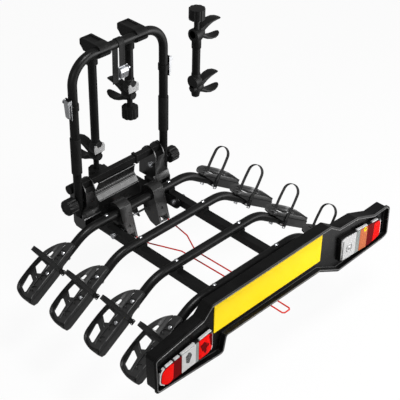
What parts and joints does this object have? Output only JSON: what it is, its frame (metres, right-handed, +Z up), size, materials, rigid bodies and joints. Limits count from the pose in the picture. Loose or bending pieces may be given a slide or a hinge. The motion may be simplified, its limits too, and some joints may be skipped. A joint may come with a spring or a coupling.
{
  "type": "towbar bike rack",
  "caption": "Tilting bike rack clamped on a tow ball, with drooping cross tubes, moulded wheel trays, a folding hoop with frame holders, and a rear light board",
  "frame": {"origin": "centre of the tow ball, the centre of the coupling's socket", "axes": "+X to the right seen from behind the vehicle, +Y towards the vehicle, +Z up"},
  "size_m": [1.1657, 0.937, 0.8027],
  "materials": {
    "black_paint": "satin powder coat",
    "black_plastic": "moulded, fine grain",
    "board_plastic": "moulded, semi-gloss",
    "grip_plastic": "moulded, fluted",
    "zinc": "bright zinc plate",
    "cast": "black painted casting",
    "hardened": "ground steel",
    "red_coat": "red plastic coated",
    "webbing": "woven webbing",
    "yellow_plate": "plain yellow reflective",
    "lens_red": "clear moulded red",
    "lens_clear": "clear moulded",
    "lens_amber": "clear moulded amber",
    "rubber_sleeve": "matt black"
  },
  "bodies": {
    "chassis": {"chassis_frame": "black_paint", "coupling_head": "cast", "chassis_bolts": "zinc", "holder_3_tube": "black_paint", "holder_3_hoop_claw": "black_plastic", "holder_3_frame_claw": "black_plastic"},
    "clamp_jaw": {"clamp_jaw": "hardened"},
    "clamp_lever": {"clamp_lever": "red_coat"},
    "platform": {"rail_left": "black_paint", "rail_right": "black_paint", "rail_plugs": "black_plastic", "cross_tube_1": "black_paint", "cross_tube_2": "black_paint", "cross_tube_3": "black_paint", "cross_tube_4": "black_paint", "tube_saddles": "black_plastic", "frame_bolts": "zinc", "upright_left": "black_paint", "upright_right": "black_paint", "tie_bar": "black_paint", "stop_bolts": "black_plastic", "cover_clip": "black_plastic", "clamp_cover": "black_paint", "hoop_axles": "zinc", "trays_left": "black_plastic", "trays_right": "black_plastic", "wheel_straps": "webbing", "strap_buckles": "black_paint", "light_board": "board_plastic", "board_brackets": "black_paint", "rod_guide": "black_paint", "number_plate": "yellow_plate", "lamp_body_left": "black_plastic", "lamp_body_right": "black_plastic", "lenses_red": "lens_red", "lenses_clear": "lens_clear", "lenses_amber": "lens_amber"},
    "tilt_latch": {"latch_bracket_left": "black_paint", "latch_bracket_right": "black_paint", "latch_rod": "zinc"},
    "release": {"release_rod": "red_coat"},
    "hoop": {"hoop_upper": "black_paint", "hoop_legs": "black_paint", "hoop_sleeves": "rubber_sleeve", "cam_buckles": "zinc", "top_strap": "webbing"},
    "hoop_knob_left": {"hoop_knob_left": "grip_plastic"},
    "hoop_knob_right": {"hoop_knob_right": "grip_plastic"},
    "lever_left": {"buckle_lever_left": "zinc"},
    "lever_right": {"buckle_lever_right": "zinc"},
    "lever_top": {"buckle_lever_top": "zinc"},
    "holder_1": {"holder_1_tube": "black_paint", "holder_1_hoop_claw": "black_plastic", "holder_1_frame_claw": "black_plastic"},
    "holder_2": {"holder_2_tube": "black_paint", "holder_2_hoop_claw": "black_plastic", "holder_2_frame_claw": "black_plastic"},
    "knob_1": {"holder_1_knob": "grip_plastic"},
    "knob_2": {"holder_2_knob": "grip_plastic"},
    "knob_3": {"holder_3_knob": "grip_plastic"}
  },
  "joints": [
    {"name": "tilt", "type": "hinge", "parent": "chassis", "child": "platform", "pos_m": [0, -0.166, -0.0355], "axis": [1, 0, 0], "range_deg": [0, 35]},
    {"name": "jaw_swing", "type": "hinge", "parent": "chassis", "child": "clamp_jaw", "pos_m": [0, -0.031, 0.024], "axis": [-1, 0, 0], "range_deg": [0, 6]},
    {"name": "lever_lift", "type": "hinge", "parent": "chassis", "child": "clamp_lever", "pos_m": [0, 0.01, 0.053], "axis": [1, 0, 0], "range_deg": [0, 60]},
    {"name": "latch_swing", "type": "hinge", "parent": "platform", "child": "tilt_latch", "pos_m": [0, -0.11, -0.0025], "axis": [-1, 0, 0], "range_deg": [0, 8]},
    {"name": "release_pull", "type": "slide", "parent": "platform", "child": "release", "axis": [0, -1, 0], "range_m": [0, 0.0105]},
    {"name": "hoop_fold", "type": "hinge", "parent": "platform", "child": "hoop", "pos_m": [0, -0.028, 0.055], "axis": [1, 0, 0], "range_deg": [0, 88]},
    {"name": "left_knob_turn", "type": "hinge", "parent": "platform", "child": "hoop_knob_left", "pos_m": [-0.222, -0.028, 0.055], "axis": [1, 0, 0], "continuous": true},
    {"name": "right_knob_turn", "type": "hinge", "parent": "platform", "child": "hoop_knob_right", "pos_m": [0.222, -0.028, 0.055], "axis": [1, 0, 0], "continuous": true},
    {"name": "left_buckle", "type": "hinge", "parent": "hoop", "child": "lever_left", "pos_m": [-0.229, -0.028, 0.462], "axis": [0, 1, 0], "range_deg": [0, 40]},
    {"name": "right_buckle", "type": "hinge", "parent": "hoop", "child": "lever_right", "pos_m": [0.229, -0.028, 0.462], "axis": [0, -1, 0], "range_deg": [0, 40]},
    {"name": "top_buckle", "type": "hinge", "parent": "hoop", "child": "lever_top", "pos_m": [0, -0.0545, 0.512], "axis": [-1, 0, 0], "range_deg": [0, 40]},
    {"name": "holder_1_swing", "type": "hinge", "parent": "hoop", "child": "holder_1", "pos_m": [-0.074, -0.028, 0.598], "axis": [1, 0, 0], "range_deg": [0, 60]},
    {"name": "holder_2_swing", "type": "hinge", "parent": "hoop", "child": "holder_2", "pos_m": [0.09, -0.028, 0.598], "axis": [1, 0, 0], "range_deg": [0, 60]},
    {"name": "holder_1_knob_turn", "type": "hinge", "parent": "holder_1", "child": "knob_1", "pos_m": [-0.074, 0.024, 0.09], "axis": [0, 0, 1], "continuous": true},
    {"name": "holder_2_knob_turn", "type": "hinge", "parent": "holder_2", "child": "knob_2", "pos_m": [0.09, 0.024, 0.27], "axis": [0, 0, 1], "continuous": true},
    {"name": "holder_3_knob_turn", "type": "hinge", "parent": "chassis", "child": "knob_3", "pos_m": [0.366, -0.028, 0.58], "axis": [0, 0, 1], "continuous": true}
  ],
  "couplings": [
    {"joint": "jaw_swing", "follows": "lever_lift", "ratio": 0.1},
    {"joint": "release_pull", "follows": "latch_swing", "m_per_rad": 0.0715},
    {"joint": "holder_1_swing", "follows": "hoop_fold", "ratio": 0.68}
  ]
}
